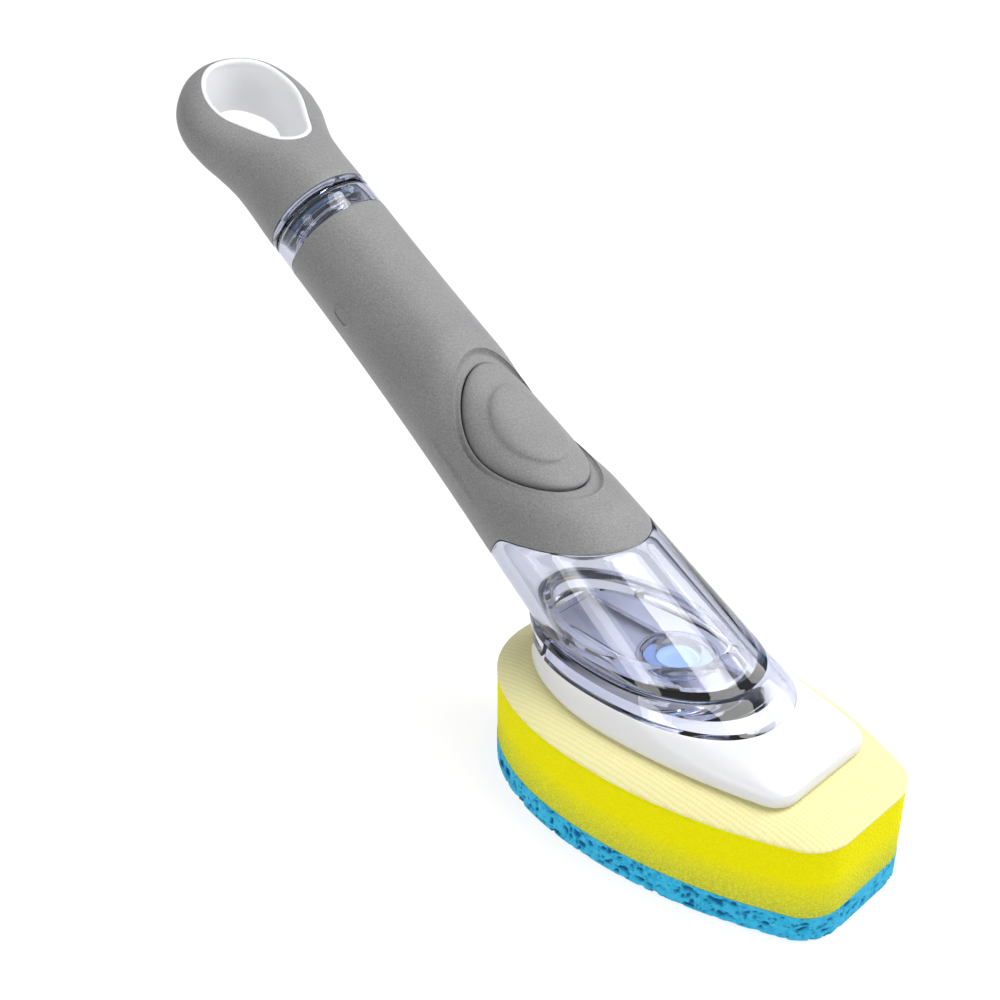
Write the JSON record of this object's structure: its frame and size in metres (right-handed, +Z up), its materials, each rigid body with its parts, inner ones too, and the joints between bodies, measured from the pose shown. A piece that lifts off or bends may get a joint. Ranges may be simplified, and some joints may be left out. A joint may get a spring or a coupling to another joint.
{
  "type": "dish wand",
  "caption": "Soap-dispensing dish wand: a slanted grip with a clear reservoir, a press button and a screw cap, on a slide-off sponge head.",
  "frame": {"origin": "middle of the sponge's flat underside, where the wand rests", "axes": "+X from the sponge's round heel to its flat toe, +Y to the left, +Z up; the handle leans back over the heel at 33.8 degrees above the floor"},
  "size_m": [0.2126, 0.0596, 0.1443],
  "materials": {
    "clear_plastic": "clear, faintly smoky, glossy",
    "grip_grey": "soft, finely speckled matt grey",
    "insert_white": "satin white",
    "seal_dark": "smooth dark navy",
    "valve_blue": "smooth translucent blue",
    "plate_white": "glossy white",
    "cloth_cream": "ribbed cream cloth",
    "foam_yellow": "fine-pored bright yellow foam",
    "scrub_blue": "open-pored blue cellulose"
  },
  "bodies": {
    "handle": {"reservoir_body": "clear_plastic", "grip_sleeve": "grip_grey", "pad_ring": "grip_grey", "foot_base": "clear_plastic", "foot_gasket": "seal_dark", "outlet_valve": "valve_blue", "valve_retainer": "clear_plastic"},
    "button": {"thumb_pad": "grip_grey"},
    "cap_seal": {"cap_seal_ring": "seal_dark"},
    "cap": {"cap_core": "clear_plastic", "cap_grip": "grip_grey", "hang_insert": "insert_white"},
    "refill": {"refill_plate": "plate_white", "sponge_cloth": "cloth_cream", "sponge_foam": "foam_yellow", "scrub_layer": "scrub_blue"}
  },
  "joints": [
    {"name": "button_press", "type": "slide", "parent": "handle", "child": "button", "axis": [-0.5563, 0, -0.831], "range_m": [0, 0.0025], "stiffness_N_per_m": 800},
    {"name": "cap_lift", "type": "slide", "parent": "handle", "child": "cap_seal", "axis": [-0.831, 0, 0.5563], "range_m": [0, 0.01]},
    {"name": "cap_turn", "type": "hinge", "parent": "cap_seal", "child": "cap", "pos_m": [-0.11995, 0, 0.11213], "axis": [-0.831, 0, 0.5563], "range_deg": [0, 720.1]},
    {"name": "refill_slide", "type": "slide", "parent": "handle", "child": "refill", "axis": [1, 0, 0], "range_m": [0, 0.056]}
  ],
  "couplings": [
    {"joint": "cap_turn", "follows": "cap_lift", "rad_per_m": 1256.6}
  ]
}
